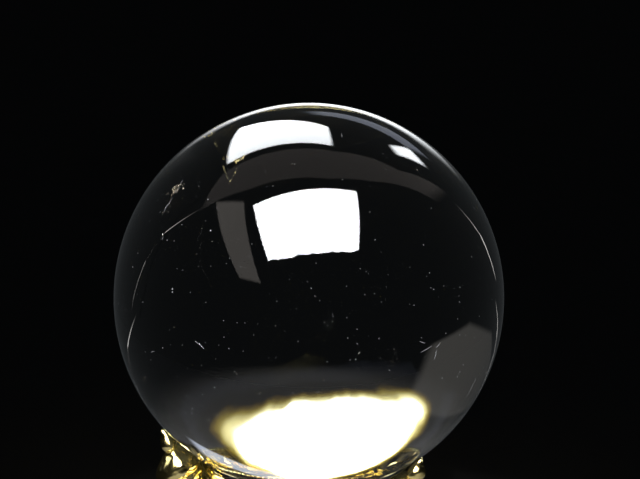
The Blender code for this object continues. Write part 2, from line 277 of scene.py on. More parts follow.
def plain_metal_finish(name, dark, light, rough_low, rough_high, scale):
    metal = Finish(name)
    cloud = metal.noise(scale, detail=6.0)
    metal.join(metal.tones(cloud, (0.3, dark), (0.7, light)), "Base Color")
    metal.join(metal.spread(cloud, 0.3, 0.7, rough_low, rough_high), "Roughness")
    metal.set(Metallic=1.0)
    metal.bump(metal.noise(scale * 6.0), 0.3, 0.00003)
    return metal.material


def painted_glow_finish(name, colour, roughness, glow):
    """What light does in a crack or a bubble inside the crystal, partly painted in: a small pale gleam that
    the piece emits of itself, on top of the shine of its surface.
    """
    gleam = Finish(name)
    cloud = gleam.noise(900.0)
    pale = [0.8 * c for c in colour]
    gleam.join(gleam.tones(cloud, (0.35, pale), (0.65, colour)), "Base Color")
    gleam.set(Metallic=0.9, Roughness=roughness)
    # Painted light: the piece glows faintly of itself, though it is no lamp.
    gleam.shader.inputs["Emission Color"].default_value = (*colour, 1.0)
    gleam.shader.inputs["Emission Strength"].default_value = glow
    return gleam.material


crystal = crystal_finish()
cast_gilt = gilt_finish("gilt_casting", 0.00004)
turned_gilt = gilt_finish("gilt_turned", 0.00004, fine=600.0)
stippled_gilt = stippled_finish()
silicone = silicone_finish()
felt = felt_finish()
zinc = plain_metal_finish("zinc_plate", (0.42, 0.43, 0.45), (0.62, 0.63, 0.64), 0.25, 0.45, 250.0)
black_iron = plain_metal_finish("black_iron", (0.03, 0.03, 0.03), (0.08, 0.08, 0.08), 0.5, 0.8, 120.0)
# The cracks, bubbles and needles glow a little of themselves: painted light.
fracture = painted_glow_finish("healed_fracture", (1.0, 0.90, 0.72), 0.25, 0.18)
bubble = painted_glow_finish("bubbles", (0.92, 0.94, 1.0), 0.2, 0.40)


# The ball.


def make_ball():
    deselect()
    bpy.ops.mesh.primitive_uv_sphere_add(
        segments=192, ring_count=96, radius=ball_radius, location=ball_centre
    )
    ball = bpy.context.active_object
    bpy.ops.object.shade_smooth()
    finished(ball, "polished_ball", crystal, "ball", stands_for=("crystal_ball",))


# Turned pieces.


def turned(profile, segments=256):
    """Models a turned piece from a circle, ring by ring. The profile is (radius, height) in mm."""
    deselect()
    radius, height = profile[0]
    bpy.ops.mesh.primitive_circle_add(
        vertices=segments, radius=radius * MM, location=(0.0, 0.0, height * MM)
    )
    piece = bpy.context.active_object
    place_in_mesh(piece)
    bpy.ops.object.mode_set(mode="EDIT")
    bpy.ops.mesh.select_all(action="SELECT")
    for next_radius, next_height in profile[1:]:
        rise = (next_height - height) * MM
        bpy.ops.mesh.extrude_edges_move(TRANSFORM_OT_translate={"value": (0.0, 0.0, rise)})
        grow = next_radius / radius
        bpy.ops.transform.resize(
            value=(grow, grow, 1.0), center_override=(0.0, 0.0, next_height * MM)
        )
        radius, height = next_radius, next_height
    bpy.ops.mesh.select_all(action="SELECT")
    bpy.ops.mesh.remove_doubles(threshold=0.000001)
    bpy.ops.mesh.fill_holes(sides=0)
    bpy.ops.mesh.select_all(action="SELECT")
    bpy.ops.mesh.normals_make_consistent(inside=False)
    bpy.ops.object.mode_set(mode="OBJECT")
    return piece


def arc(radius, height, swing, start, end, steps=6):
    """Points round a bead or a cove, centred at (radius, height)."""
    angles = [math.radians(start + (end - start) * i / steps) for i in range(steps + 1)]
    return [(radius + swing * math.cos(a), height + swing * math.sin(a)) for a in angles]


def ring_of(stud, count, first=0.0):
    """Copies a stud round the axis, each with its own mesh, and joins them."""
    place_in_mesh(stud)
    copies = [stud]
    for i in range(1, count):
        copy = stud.copy()
        copy.data = stud.data.copy()
        bpy.context.scene.collection.objects.link(copy)
        copy.data.transform(Matrix.Rotation(2 * math.pi * i / count, 4, "Z"))
        copies.append(copy)
    deselect()
    for copy in copies:
        copy.select_set(True)
    bpy.context.view_layer.objects.active = stud
    bpy.ops.object.join()
    stud.data.transform(Matrix.Rotation(first, 4, "Z"))
    return stud


def pip(size, place, lean=0.0, slant=0.0, segments=12, rings=8):
    """A rounded lump: a sphere drawn out to size in mm, slanted about its own X, then leant about Y."""
    deselect()
    bpy.ops.mesh.primitive_uv_sphere_add(segments=segments, ring_count=rings, radius=1.0)
    lump = bpy.context.active_object
    bpy.ops.object.shade_smooth()
    lump.scale = [s * MM for s in size]
    turn = Matrix.Rotation(lean, 3, "Y") @ Matrix.Rotation(slant, 3, "X")
    lump.rotation_euler = turn.to_euler()
    lump.location = [p * MM for p in place]
    return lump


def joined(*pieces):
    for piece in pieces:
        place_in_mesh(piece)
    deselect()
    for piece in pieces:
        piece.select_set(True)
    bpy.context.view_layer.objects.active = pieces[0]
    bpy.ops.object.join()
    return pieces[0]


# Where the stand's pieces are, in mm, read from the frame.


def box_in_mm(node):
    """A node's lowest and highest corners."""
    return [[value / MM for value in corner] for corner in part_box(node)]


ring_low, ring_high = box_in_mm("seat_ring")
foot_low, foot_high = box_in_mm("base_foot")
bead_low, bead_high = box_in_mm("bead_ring")
dome_low, dome_high = box_in_mm("base_dome")
finial_low, finial_high = box_in_mm("finial")
felt_high = box_in_mm("felt_pad")[1]
ball_mm = ball_radius / MM
centre_z = ball_centre.z / MM

ring_outer = ring_high[1]
ring_top_z = ring_high[2]
ring_bottom_z = ring_low[2]
seat_angle = 62.0
clearance = 0.3
paw_out = 31.0


def make_seat_ring():
    """The ring: a thin lip round the ball, a rope moulding outside, and a hollow for the soft ring."""
    lip_r, lip_z = 22.06, ring_top_z
    bore, outer = 18.2, ring_outer
    rope_z = (ring_bottom_z + lip_z - 2.5) / 2
    profile = [
        (lip_r, lip_z),
        (lip_r + 0.25, lip_z - 0.05),
        (lip_r + 0.75, lip_z - 0.85),
        (lip_r + 0.95, lip_z - 1.6),
        *arc(outer - 0.75, lip_z - 2.45, 0.72, 100, -60),
        (outer - 1.3, rope_z + 1.3),
        (outer - 1.3, rope_z - 1.3),
        *arc(outer - 0.75, ring_bottom_z + 0.75, 0.74, 60, -90),
        (bore + 0.8, ring_bottom_z + 0.02),
        (bore + 0.1, ring_bottom_z + 0.4),
        (bore, lip_z - 4.43),
        (21.72, lip_z - 2.65),
        (20.75, lip_z - 1.35),
        (lip_r, lip_z),
    ]
    ring = turned(profile, segments=192)
    round_off(ring, 50)
    strand = pip((0.85, 0.52, 1.42), (outer - 0.95, 0.0, rope_z), slant=math.radians(38))
    rope = ring_of(strand, count=100)
    ring = joined(ring, rope)
    finished(ring, "seat_ring_rope", turned_gilt, "stand", stands_for=("seat_ring",))


def make_soft_ring():
    half = math.radians(seat_angle)
    inner = ball_mm + 0.42
    outer = inner + 1.76
    profile = []
    for along, away in (
        (1.3, inner), (1.62, inner + 0.3), (1.62, outer - 0.3), (1.3, outer),
        (-1.3, outer), (-1.62, outer - 0.3), (-1.62, inner + 0.3), (-1.3, inner), (1.3, inner),
    ):
        radius = away * math.cos(half) + along * math.sin(half)
        height = centre_z - away * math.sin(half) + along * math.cos(half)
        profile.append((radius, height))
    soft = turned(profile, segments=128)
    round_off(soft, 60)
    finished(soft, "soft_ring", silicone, "soft_ring", stands_for=("seat_liner",))


def make_base():
    """The lower casting: upright rim, petals up the cove, and a fillet under the beads."""
    rim = foot_high[0]
    top = foot_high[2]
    neck = rim - 2.5
    low = foot_low[2]
    recess_r = felt_high[0] + 0.25
    recess_z = felt_high[2] + 0.25
    bore = 2.9
    profile = [
        (bore, top),
        (neck - 2.0, top),
        (neck - 0.9, top - 0.05),
        *arc(neck - 0.55, top - 0.45, 0.42, 80, -60, 4),
        (neck - 0.75, top - 1.05),
        (neck - 0.45, top - 2.2),
        (neck + 0.1, top - 3.2),
        (rim - 2.1, top - 4.0),
        (rim - 1.2, top - 4.45),
        *arc(rim - 0.75, top - 5.15, 0.62, 120, -20, 5),
        (rim - 0.55, top - 5.75),
        *arc(rim - 1.35, low + 1.35, 1.33, 30, -80, 6),
        (recess_r, low),
        (recess_r, recess_z),
        (recess_r - 5.0, recess_z),
        (recess_r - 5.0, top - 2.6),
        (bore, top - 2.6),
        (bore, top),
    ]
    foot = turned(profile, segments=256)
    round_off(foot, 40)
    petal = pip((1.25, 1.45, 2.5), (neck - 0.35, 0.0, top - 2.55), lean=math.radians(-38))
    petals = ring_of(petal, count=72)
    foot = joined(foot, petals)
    finished(foot, "base_lower", turned_gilt, "stand", stands_for=("base_foot",))


def make_beads():
    radius = (bead_high[2] - bead_low[2]) / 2
    height = (bead_high[2] + bead_low[2]) / 2
    line = bead_high[0] - radius
    count = int(2 * math.pi * line / (2 * radius * 1.02))
    bead = pip((radius, radius, radius), (line, 0.0, height), segments=14, rings=10)
    beads = ring_of(bead, count)
    cord = turned([*arc(line, height, 0.62, 0, 360, 10)], segments=192)
    round_off(cord, 60)
    beads = joined(beads, cord)
    finished(beads, "bead_moulding", turned_gilt, "stand", stands_for=("bead_ring",))


def make_dome():
    """The upper casting: a flat top with turned lines, and a rounded edge."""
    rim, top, low = dome_high[0], dome_high[2], dome_low[2]
    bore = 2.85
    lines = []
    for radius in (rim - 2.2, rim - 3.1, 12.4, 11.5):
        bed = top - 0.16
        lines += [(radius, top), (radius - 0.14, bed), (radius - 0.34, bed), (radius - 0.48, top)]
    profile = [
        *arc(rim - 1.6, top - 1.6, 1.6, 0, 90, 8),
        *lines,
        (bore, top),
        (bore, low),
        (rim, low),
        (rim, top - 1.6),
    ]
    dome = turned(profile, segments=256)
    round_off(dome, 35)
    finished(dome, "base_upper", stippled_gilt, "stand", stands_for=("base_dome",))


def make_finial():
    """The turned bud under the ball, with flutes that wind round it."""
    radius = finial_high[0]
    low, high = finial_low[2], finial_high[2]
    tall = high - low
    shape = [
        (0.995, 0.0), (1.0, 0.03), (0.94, 0.06), (0.80, 0.085), (0.70, 0.11), (0.58, 0.125), (0.50, 0.135),
        (0.54, 0.155), (0.56, 0.18), (0.54, 0.205), (0.50, 0.22), (0.38, 0.24), (0.33, 0.255), (0.31, 0.28),
        (0.33, 0.31), (0.38, 0.34), (0.45, 0.38), (0.52, 0.43), (0.57, 0.49), (0.595, 0.56), (0.585, 0.63),
        (0.55, 0.70), (0.49, 0.77), (0.41, 0.84), (0.31, 0.90), (0.20, 0.945), (0.115, 0.965), (0.10, 0.975),
        (0.11, 0.985), (0.08, 0.996), (0.02, 1.0),
    ]
    bud = turned([(r * radius, low + z * tall) for r, z in shape], segments=144)
    for vertex in bud.data.vertices:
        share = (vertex.co.z / MM - low) / tall
        if 0.30 < share < 0.95:
            angle = math.atan2(vertex.co.y, vertex.co.x)
            fade = math.sin(math.pi * (share - 0.30) / 0.65) ** 0.7
            wave = abs(math.sin(5 * (angle + 2.6 * share)))
            keep = 1.0 - 0.13 * fade * (1.0 - wave) ** 1.5
            vertex.co.x *= keep
            vertex.co.y *= keep
    round_off(bud, 50)
    finished(bud, "finial_bud", turned_gilt, "stand", stands_for=("finial",))


# The talon legs.

# Nail tip to ankle: distance out, height above the base's top, half thickness, half width, tilt in degrees.
TALON = [
    (31.35, 36.55, 0.30, 0.30, -30),
    (31.15, 36.00, 0.75, 0.70, -26),
    (30.80, 35.10, 1.20, 1.10, -22),
    (30.55, 34.20, 1.55, 1.60, -18),
    (30.25, 33.30, 1.80, 2.00, -16),
    (30.00, 32.60, 1.75, 2.10, -20),
    (29.80, 32.15, 1.35, 1.85, -26),
    (29.55, 31.75, 1.55, 2.20, -30),
    (29.30, 31.10, 2.35, 3.00, -30),
    (28.95, 30.30, 3.30, 3.60, -28),
    (28.65, 29.20, 4.20, 4.10, -24),
    (28.45, 28.00, 4.85, 4.35, -22),
    (28.35, 27.20, 5.00, 4.30, -22),
    (28.30, 26.70, 4.75, 4.10, -24),
    (28.35, 26.30, 4.95, 4.30, -24),
    (28.45, 25.50, 5.60, 4.75, -22),
    (28.50, 24.40, 6.05, 5.00, -18),
    (28.50, 23.20, 6.20, 5.05, -14),
    (28.45, 22.20, 5.95, 4.85, -12),
    (28.35, 21.50, 5.50, 4.50, -10),
    (28.30, 21.10, 5.55, 4.60, -8),
    (28.20, 20.30, 5.85, 4.80, -6),
    (27.90, 19.20, 5.60, 4.60, -4),
    (27.55, 18.20, 5.10, 4.20, -2),
    (27.35, 17.60, 4.75, 3.85, 0),
    (27.20, 17.10, 4.80, 3.95, 2),
    (26.95, 16.10, 4.65, 3.80, 4),
    (26.70, 15.00, 4.25, 3.45, 4),
    (26.60, 14.45, 3.95, 3.15, 4),
    (26.50, 13.90, 4.00, 3.25, 4),
    (26.35, 12.70, 3.85, 3.10, 2),
    (26.25, 11.60, 3.50, 2.85, 0),
    (26.25, 10.90, 3.40, 2.75, -6),
    (26.35, 9.60, 3.35, 2.70, -12),
    (26.70, 8.30, 3.35, 2.70, -22),
    (27.40, 6.90, 3.45, 2.80, -32),
    (28.30, 5.60, 3.60, 3.00, -38),
    (29.30, 4.50, 3.60, 3.20, -44),
    (30.30, 3.60, 3.40, 3.20, -50),
]


def talon_finger():
    """The finger, modelled ring by ring from a circle at the nail's tip."""
    base = dome_high[2]
    out, up, half, wide, tilt = TALON[0]
    centre = Vector((out, 0.0, base + up)) * MM
    deselect()
    bpy.ops.mesh.primitive_circle_add(vertices=40, radius=1.0, fill_type="NGON", location=centre)
    finger = bpy.context.active_object
    finger.scale = (half * MM, wide * MM, 1.0)
    finger.rotation_euler = (0.0, math.radians(-tilt), 0.0)
    place_in_mesh(finger)
    bpy.ops.object.mode_set(mode="EDIT")
    bpy.ops.mesh.select_all(action="SELECT")
    for next_out, next_up, next_half, next_wide, next_tilt in TALON[1:]:
        to = Vector((next_out, 0.0, base + next_up)) * MM
        bpy.ops.mesh.extrude_region_move(TRANSFORM_OT_translate={"value": to - centre})
        bpy.ops.transform.rotate(value=math.radians(-tilt), orient_axis="Y", center_override=to)
        bpy.ops.transform.resize(value=(next_half / half, next_wide / wide, 1.0), center_override=to)
        bpy.ops.transform.rotate(value=math.radians(next_tilt), orient_axis="Y", center_override=to)
        centre, half, wide, tilt = to, next_half, next_wide, next_tilt
    bpy.ops.mesh.select_all(action="SELECT")
    bpy.ops.mesh.normals_make_consistent(inside=False)
    bpy.ops.object.mode_set(mode="OBJECT")
    return finger


def talon_paw():
    """Heel, three toes with nails, and the pad under them."""
    base = dome_high[2] + clearance
    lumps = [
        pip((6.2, 4.6, 3.4), (paw_out - 0.8, 0.0, base + 2.2)),
        pip((3.4, 4.4, 2.6), (paw_out - 3.6, 0.0, base + 2.0)),
    ]
    for swing in (-34, 0, 34):
        a = math.radians(swing)
        knuckle = 4.6 if swing else 5.4
        for reach, size, height in (
            (knuckle - 2.2, 1.9, 3.1), (knuckle, 1.75, 2.2), (knuckle + 1.5, 1.25, 1.35)
        ):
            out, aside = paw_out - 1.2 + reach * math.cos(a), reach * math.sin(a) * 1.25
            lumps.append(pip((size * 1.15, size, size * 0.92), (out, aside, base + height)))
        tip = knuckle + 2.5
        out, aside = paw_out - 1.4 + tip * math.cos(a), tip * math.sin(a) * 1.2
        lumps.append(pip((1.15, 0.55, 0.6), (out, aside, base + 0.85), lean=math.radians(20)))
    return lumps


def leg_blank():
    """The finger and paw grown together into one casting, with the casting's own unevenness."""
    leg = joined(talon_finger(), *talon_paw())
    hold(leg)
    grow = leg.modifiers.new("grow_together", "REMESH")
    grow.mode = "VOXEL"
    grow.voxel_size = 0.00022
    grow.use_smooth_shade = True
    bpy.ops.object.modifier_apply(modifier=grow.name)
    ease = leg.modifiers.new("ease", "SMOOTH")
    ease.factor = 0.5
    ease.iterations = 3
    bpy.ops.object.modifier_apply(modifier=ease.name)
    for size, depth in ((0.0034, 0.00050), (0.0011, 0.00007)):
        lumps = bpy.data.textures.new("casting", "CLOUDS")
        lumps.noise_scale = size
        lumps.noise_depth = 1
        uneven = leg.modifiers.new("uneven", "DISPLACE")
        uneven.texture = lumps
        uneven.texture_coords = "GLOBAL"
        uneven.mid_level = 0.5
        uneven.strength = depth
        bpy.ops.object.modifier_apply(modifier=uneven.name)
    return leg


def carve(piece, cutter):
    hold(piece)
    cut = piece.modifiers.new("cut", "BOOLEAN")
    cut.operation = "DIFFERENCE"
    cut.solver = "EXACT"
    cut.object = cutter
    bpy.ops.object.modifier_apply(modifier=cut.name)
    bpy.data.objects.remove(cutter)


def make_legs():
    leg = leg_blank()
    deselect()
    bpy.ops.mesh.primitive_uv_sphere_add(
        segments=192, ring_count=96, radius=ball_radius + 0.35 * MM, location=ball_centre
    )
    carve(leg, bpy.context.active_object)
    gap = 0.25
    notch = turned(
        [
            (23.3, ring_top_z + 0.3),
            (23.3, ring_top_z - 1.2),
            (ring_outer + gap, ring_top_z - 2.2),
            (ring_outer + gap, ring_bottom_z - gap),
            (12.0, ring_bottom_z - gap),
            (12.0, ring_top_z + 0.3),
            (23.3, ring_top_z + 0.3),
        ],
        segments=192,
    )
    carve(leg, notch)
    base = dome_high[2] + clearance
    deselect()
    bpy.ops.mesh.primitive_cube_add(size=0.04, location=(paw_out * MM, 0.0, base * MM - 0.02))
    carve(leg, bpy.context.active_object)
    round_off(leg, 50)
    for i, angle in enumerate((90.0, 210.0, 330.0)):
        copy = leg.copy()
        copy.data = leg.data.copy()
        bpy.context.scene.collection.objects.link(copy)
        copy.rotation_euler = (0.0, 0.0, math.radians(angle))
        finished(copy, f"talon_{i + 1}", cast_gilt, "stand", stands_for=(f"talon_leg_{i + 1}",))
    bpy.data.objects.remove(leg)


def make_felt():
    radius, thick = felt_high[0], felt_high[2]
    profile = [
        (radius - 0.5, thick), (radius - 0.1, thick - 0.3), (radius - 0.05, 0.5), (radius - 0.35, 0.08),
        (radius - 0.8, 0.0),
    ]
    pad = turned(profile, segments=128)
    round_off(pad, 60)
    finished(pad, "felt_disc", felt, "stand", stands_for=("felt_pad",))


# Marks inside the crystal.


def inside(across, over, depth):
    """A point in the ball, at a share of its outline as the camera sees it, and a depth in radii."""
    eye = look_from(CAMERA_AZIMUTH, CAMERA_ELEVATION, CAMERA_DISTANCE * ball_radius, ball_centre)
    towards = (eye - ball_centre).normalized()
    right = Vector((0.0, 0.0, 1.0)).cross(towards).normalized()
    above = towards.cross(right)
    spread = math.tan(math.asin(1 / CAMERA_DISTANCE))
    sight = (right * across * spread + above * over * spread - towards).normalized()
    back = (ball_centre - eye).dot(sight)
    reach = back - math.sqrt(back * back - (eye - ball_centre).length_squared + ball_radius**2)
    entry = eye + sight * reach
    normal = (entry - ball_centre).normalized()
    slant = -sight.dot(normal)
    straight = math.sqrt(1 - (1 - slant**2) / QUARTZ_IOR**2)
    bent = sight / QUARTZ_IOR + normal * (slant / QUARTZ_IOR - straight)
    return entry + bent * depth * ball_radius


def flake(place, size, seed):
    """A thin healed crack: a crumpled scrap of disc."""
    chance = random.Random(seed)
    deselect()
    bpy.ops.mesh.primitive_circle_add(vertices=9, radius=size, fill_type="TRIFAN", location=place)
    scrap = bpy.context.active_object
    scrap.rotation_euler = [chance.uniform(0, math.pi) for _ in range(3)]
    scrap.scale = (1.0, chance.uniform(0.25, 0.6), 1.0)
    place_in_mesh(scrap)
    for vertex in scrap.data.vertices:
        vertex.co += Vector([chance.uniform(-0.22, 0.22) * size for _ in range(3)])
    thicken = scrap.modifiers.new("thicken", "SOLIDIFY")
    thicken.thickness = 0.00003
    hold(scrap)
    bpy.ops.object.modifier_apply(modifier=thicken.name)
    return scrap


def make_feather():
    """The small feathery fracture near the surface: a bright tuft, partly by its finish's painted glow, with
    a thin wisp trailing from it.
    """
    chance = random.Random(3)
    scraps = []
    for i in range(64):
        tuft = i < 26
        t = chance.random() ** 1.3
        if tuft:
            across = -0.655 - 0.060 * t + chance.gauss(0.0, 0.008)
            over = 0.580 - 0.055 * t + chance.gauss(0.0, 0.009)
            size = chance.uniform(0.10, 0.34)
        else:
            across = -0.675 - 0.085 * t + chance.gauss(0.0, 0.003)
            over = 0.545 - 0.150 * t + 0.02 * math.sin(9 * t) + chance.gauss(0.0, 0.003)
            size = chance.uniform(0.06, 0.20) * (1.2 - t)
        scraps.append(flake(inside(across, over, 0.02 + chance.uniform(0.0, 0.03)), size * MM, i))
    feather = joined(*scraps)
    finished(feather, "healed_fracture", fracture, "ball")


def make_specks():
    """Tiny bubbles and grains scattered through the crystal."""
    chance = random.Random(11)
    places = []
    while len(places) < 260:
        right, up = chance.uniform(-0.95, 0.95), chance.uniform(-0.95, 0.8)
        if right * right + up * up > 0.93:
            continue
        if chance.random() > 0.35 + 0.65 * (0.5 - 0.5 * up):
            continue
        places.append((inside(right, up, chance.uniform(0.03, 0.6)), chance.uniform(0.03, 0.08)))
    for right, up, depth, size in (
        (-0.70, 0.04, 0.05, 0.17), (-0.70, 0.025, 0.05, 0.13), (-0.52, 0.50, 0.08, 0.10),
        (-0.505, 0.34, 0.30, 0.16), (0.70, -0.19, 0.10, 0.09),
    ):
        places.append((inside(right, up, depth), size))
    specks = []
    for place, size in places:
        deselect()
        bpy.ops.mesh.primitive_ico_sphere_add(subdivisions=1, radius=size * MM, location=place)
        specks.append(bpy.context.active_object)
    cloud = joined(*specks)
    hold(cloud)
    bpy.ops.object.shade_smooth()
    finished(cloud, "bubbles", bubble, "ball")


def make_hairs():
    """Short fine needles under the surface."""
    chance = random.Random(5)
    hairs = []
    for right, up, length, turn in (
        (0.60, -0.27, 2.6, 30), (0.645, -0.30, 2.0, 75), (0.58, -0.235, 1.2, -20),
        (0.66, -0.25, 1.4, 50), (-0.55, -0.25, 1.6, -50), (-0.57, -0.235, 1.2, -42),
        (-0.80, -0.28, 0.7, 15), (0.17, 0.83, 0.8, 100), (0.825, -0.47, 1.8, 62),
        (0.845, -0.435, 1.4, 66), (0.81, -0.50, 1.2, 58), (-0.75, 0.30, 0.8, 70),
        (-0.715, 0.485, 2.4, 58), (-0.735, 0.455, 1.8, 66), (-0.675, 0.550, 1.5, 40),
        (-0.690, 0.565, 1.2, 20), (-0.655, 0.585, 1.3, 62),
    ):
        curve = bpy.data.curves.new("needle", "CURVE")
        curve.dimensions = "3D"
        curve.bevel_depth = 0.045 * MM
        curve.bevel_resolution = 1
        curve.use_fill_caps = True
        line = curve.splines.new("POLY")
        line.points.add(6)
        a = math.radians(turn)
        bend = chance.uniform(-0.3, 0.3)
        for i, point in enumerate(line.points):
            s = i / 6 - 0.5
            along = s * length / ball_mm
            side = bend * (s * s - 0.25) * length / ball_mm
            across = right + along * math.cos(a) - side * math.sin(a)
            over = up + along * math.sin(a) + side * math.cos(a)
            point.co = (*inside(across, over, 0.03), 1.0)
            point.radius = 1.0 - 1.2 * abs(s)
        needle = bpy.data.objects.new("needle", curve)
        bpy.context.scene.collection.objects.link(needle)
        hold(needle)
        bpy.ops.object.convert(target="MESH")
        hairs.append(bpy.context.active_object)
    needles = joined(*hairs)
    finished(needles, "needles", bubble, "ball")


make_ball()
make_feather()
make_specks()
make_hairs()
make_soft_ring()
make_seat_ring()
make_legs()
make_base()
make_beads()
make_dome()
make_finial()
make_felt()
# The fasteners and the ballast keep their shape.
for start, metal in (
    (("leg_", "centre_"), zinc), ("ring_screw_", turned_gilt), ("ballast_", black_iron)
):
    for node_name in nodes:
        if node_name.startswith(start):
            nodes[node_name].data.materials.clear()
            nodes[node_name].data.materials.append(metal)


# The studio: a pale floor, soft panels and the camera.


def aim(looker, target):
    """Turns a camera or a lamp to face a point."""
    looker.rotation_euler = (target - looker.location).to_track_quat("-Z", "Y").to_euler()


def make_camera():
    view = bpy.data.cameras.new("camera")
    camera = bpy.data.objects.new("camera", view)
    bpy.context.scene.collection.objects.link(camera)
    bpy.context.scene.camera = camera
    distance = CAMERA_DISTANCE * ball_radius
    camera.location = look_from(CAMERA_AZIMUTH, CAMERA_ELEVATION, distance, ball_centre)
    half_view = 0.25550942
    view.sensor_width = 36.0
    view.lens = view.sensor_width / 2 / half_view
    view.clip_start = 0.01
    towards = (ball_centre - camera.location).normalized()
    right = towards.cross(Vector((0.0, 0.0, 1.0))).normalized()
    upward = right.cross(towards)
    aim(camera, ball_centre + distance * (right * 0.00878314 + upward * 0.04551262))


def group(name, pieces):
    lit = bpy.data.collections.new(name)
    for piece in pieces:
        lit.objects.link(piece)
    return lit


def window_glow(strength, colour, edge, ragged, roughness, fringe):
    """A panel's light: it fades at its edges, and its lower edge may be ragged and coloured.

    It lights shiny and clear things. A matt surface gets nothing from it, so the floor behind
    the ball stays dark, and the ball doesn't gather it into a burning glass over the stand.
    """
    glow = bpy.data.materials.new("window_glow")
    glow.use_nodes = True
    tree = glow.node_tree
    tree.nodes.clear()

    def put(value, socket):
        if isinstance(value, float):
            socket.default_value = value
        else:
            tree.links.new(value, socket)

    def run(operation, first, second):
        made = tree.nodes.new("ShaderNodeMath")
        made.operation = operation
        put(first, made.inputs[0])
        put(second, made.inputs[1])
        return made.outputs["Value"]

    def step(value, low, high):
        made = tree.nodes.new("ShaderNodeMapRange")
        made.interpolation_type = "SMOOTHSTEP"
        put(value, made.inputs["Value"])
        put(low, made.inputs["From Min"])
        put(high, made.inputs["From Max"])
        return made.outputs["Result"]

    share = tree.nodes.new("ShaderNodeTexCoord").outputs["UV"]
    split = tree.nodes.new("ShaderNodeSeparateXYZ")
    tree.links.new(share, split.inputs["Vector"])
    across, over = split.outputs["X"], split.outputs["Y"]
    cloud = tree.nodes.new("ShaderNodeTexNoise")
    cloud.inputs["Scale"].default_value = 6.5
    cloud.inputs["Detail"].default_value = roughness
    tree.links.new(share, cloud.inputs["Vector"])
    wander = run("MULTIPLY", run("SUBTRACT", cloud.outputs["Fac"], 0.5), ragged)
    height = run("ADD", over, wander)
    power = run("MULTIPLY", step(across, 0.0, edge), step(run("SUBTRACT", 1.0, across), 0.0, edge))
    power = run("MULTIPLY", power, step(run("SUBTRACT", 1.0, over), 0.0, edge))
    lamp = tree.nodes.new("ShaderNodeEmission")
    if fringe:
        ramp = tree.nodes.new("ShaderNodeValToRGB")
        while len(ramp.color_ramp.elements) < len(fringe):
            ramp.color_ramp.elements.new(0.5)
        for element, (position, tone) in zip(ramp.color_ramp.elements, fringe):
            element.position = position
            element.color = (*tone, 1.0)
        tree.links.new(height, ramp.inputs["Fac"])
        tree.links.new(ramp.outputs["Color"], lamp.inputs["Color"])
    else:
        lamp.inputs["Color"].default_value = (*colour, 1.0)
        power = run("MULTIPLY", power, step(height, 0.0, edge))
    path = tree.nodes.new("ShaderNodeLightPath").outputs
    power = run("MULTIPLY", power, run("LESS_THAN", path["Diffuse Depth"], 0.5))
    power = run("MULTIPLY", power, run("LESS_THAN", path["Transmission Depth"], 2.5))
    tree.links.new(run("MULTIPLY", power, strength), lamp.inputs["Strength"])
    clear = tree.nodes.new("ShaderNodeBsdfTransparent")
    both = tree.nodes.new("ShaderNodeAddShader")
    tree.links.new(lamp.outputs["Emission"], both.inputs[0])
    tree.links.new(clear.outputs["BSDF"], both.inputs[1])
    out = tree.nodes.new("ShaderNodeOutputMaterial")
    tree.links.new(both.outputs["Shader"], out.inputs["Surface"])
    return glow


def shine_on_crystal(panel):
    """A panel is seen only in the crystal, as light that it mirrors or bends."""
    panel.visible_camera = False
    panel.visible_diffuse = False
    panel.visible_shadow = False
    panel.light_linking.receiver_collection = crystal_pieces


def soft_panel(
    name, lower, upper, strength, colour, edge=0.06, ragged=0.0, roughness=4.0, fringe=(),
    mirrored=True, seen_through=True, lights=None,
):
    """A glowing panel. Its lower and upper edges are rows of points."""
    columns = len(lower) - 1
    fine = 6
    deselect()
    bpy.ops.mesh.primitive_grid_add(
        x_subdivisions=columns * fine, y_subdivisions=8, size=1.0, calc_uvs=True
    )
    panel = bpy.context.active_object
    for vertex in panel.data.vertices:
        along = (vertex.co.x + 0.5) * columns
        rise = vertex.co.y + 0.5
        i = min(int(along), columns - 1)
        part = along - i
        below = Vector(lower[i]).lerp(Vector(lower[i + 1]), part)
        above = Vector(upper[i]).lerp(Vector(upper[i + 1]), part)
        vertex.co = below.lerp(above, rise)
    panel.name = name
    panel.data.materials.append(window_glow(strength, colour, edge, ragged, roughness, fringe))
    shine_on_crystal(panel)
    panel.visible_glossy = mirrored
    panel.visible_transmission = seen_through
    if lights:
        panel.light_linking.receiver_collection = lights


def make_room():
    """Dim walls all round. The crystal's polish shows them as a faint veil, stronger towards its edge."""
    deselect()
    bpy.ops.mesh.primitive_uv_sphere_add(segments=24, ring_count=12, radius=1.4)
    room = bpy.context.active_object
    for vertex in room.data.vertices:
        vertex.co.z = max(vertex.co.z, 0.001)
    room.name = "room"
    room.data.materials.append(window_glow(0.042, (0.86, 0.95, 1.0), 0.001, 0.0, 4.0, ()))
    shine_on_crystal(room)
    room.visible_transmission = False


def make_floor():
    deselect()
    bpy.ops.mesh.primitive_plane_add(size=6.0, location=(0.0, 0.0, -0.0001))
    floor = bpy.context.active_object
    floor.name = "floor"
    card = Finish("pale_floor")
    tone = card.tones(card.noise(30.0), (0.3, (0.74, 0.73, 0.71)), (0.7, (0.78, 0.77, 0.75)))
    card.join(tone, "Base Color")
    card.set(Roughness=0.9)
    card.shader.inputs["Specular IOR Level"].default_value = 0.0
    floor.data.materials.append(card.material)


def make_floor_light():
    lamp = bpy.data.lights.new("floor_light", "SPOT")
    lamp.energy = 6.5
    lamp.shadow_soft_size = 0.03
    lamp.spot_size = math.radians(27)
    lamp.spot_blend = 0.5
    light = bpy.data.objects.new("floor_light", lamp)
    bpy.context.scene.collection.objects.link(light)
    middle = Vector((0.0, 0.0, 0.0))
    light.location = look_from(CAMERA_AZIMUTH, 60.0, 0.6, middle)
    aim(light, look_from(CAMERA_AZIMUTH, 0.0, 0.10, middle))
    lit = [bpy.data.objects[name] for name in ("floor", "base_lower", "bead_moulding", "base_upper")]
    light.light_linking.receiver_collection = group("floor_and_base", lit)


